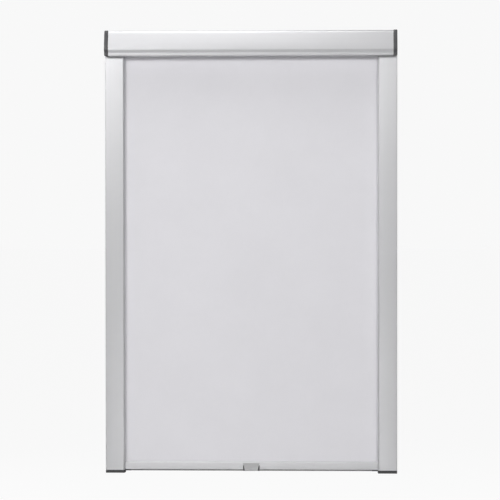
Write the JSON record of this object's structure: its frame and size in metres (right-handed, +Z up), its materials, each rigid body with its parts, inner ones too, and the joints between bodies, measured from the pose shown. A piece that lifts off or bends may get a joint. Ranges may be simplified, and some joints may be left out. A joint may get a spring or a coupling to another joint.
{
  "type": "roof window blackout roller blind",
  "caption": "Blackout roller blind for a roof window: spring roller in a headbox, cloth running in side rails, and a bottom bar with a finger grip.",
  "frame": {"origin": "on the headbox's back face, which is fixed to the window sash, 27 mm below the cover's top", "axes": "+X to the right as seen from the room, +Y out of the back face towards the window, +Z up along the rails towards the headbox"},
  "size_m": [0.613, 0.047, 0.93],
  "materials": {
    "satin_aluminium": "satin natural anodised",
    "dark_plastic": "fine moulded grain, dark grey",
    "grey_plastic": "smooth moulded, mid grey",
    "white_plastic": "smooth moulded, white",
    "steel": "zinc plated",
    "blackout_cloth": "matt coated plain weave, near white",
    "seal_rubber": "matt extruded, grey",
    "brake_felt": "pressed felt, black"
  },
  "bodies": {
    "frame": {"headbox_back_rail": "satin_aluminium", "headbox_front_cover": "satin_aluminium", "headbox_end_cap_left": "dark_plastic", "headbox_end_cap_right": "dark_plastic", "end_cap_screw_left_upper": "steel", "end_cap_screw_left_lower": "steel", "end_cap_screw_right_upper": "steel", "end_cap_screw_right_lower": "steel", "spring_arbor": "steel", "spring_collar": "grey_plastic", "idler_pin": "steel", "side_rail_left": "satin_aluminium", "side_rail_right": "satin_aluminium", "rail_cover_left": "satin_aluminium", "rail_cover_right": "satin_aluminium", "foot_cap_left": "dark_plastic", "foot_cap_right": "dark_plastic", "fabric_sheet": "blackout_cloth"},
    "roller": {"roller_tube": "satin_aluminium", "tube_spline": "white_plastic", "fabric_roll": "blackout_cloth", "tube_crown": "white_plastic", "idler_plug": "white_plastic", "arbor_steady": "white_plastic", "torsion_spring": "steel"},
    "bottom_bar": {"bottom_bar_profile": "satin_aluminium", "hem_rod": "white_plastic", "bottom_seal": "seal_rubber", "grip_insert": "dark_plastic", "grip_lip": "grey_plastic", "bar_runner_left": "dark_plastic", "bar_runner_right": "dark_plastic", "brake_spring_left": "steel", "brake_spring_right": "steel", "brake_pad_left": "brake_felt", "brake_pad_right": "brake_felt"}
  },
  "joints": [
    {"name": "bar_slide", "type": "slide", "parent": "frame", "child": "bottom_bar", "axis": [0, 0, 1], "range_m": [0, 0.845], "deforming": ["fabric_sheet"]},
    {"name": "roller_spin", "type": "hinge", "parent": "frame", "child": "roller", "pos_m": [0, -0.0233, -0.002], "axis": [1, 0, 0], "range_deg": [0, 3140]}
  ],
  "couplings": [
    {"joint": "roller_spin", "follows": "bar_slide", "rad_per_m": 64.6}
  ]
}
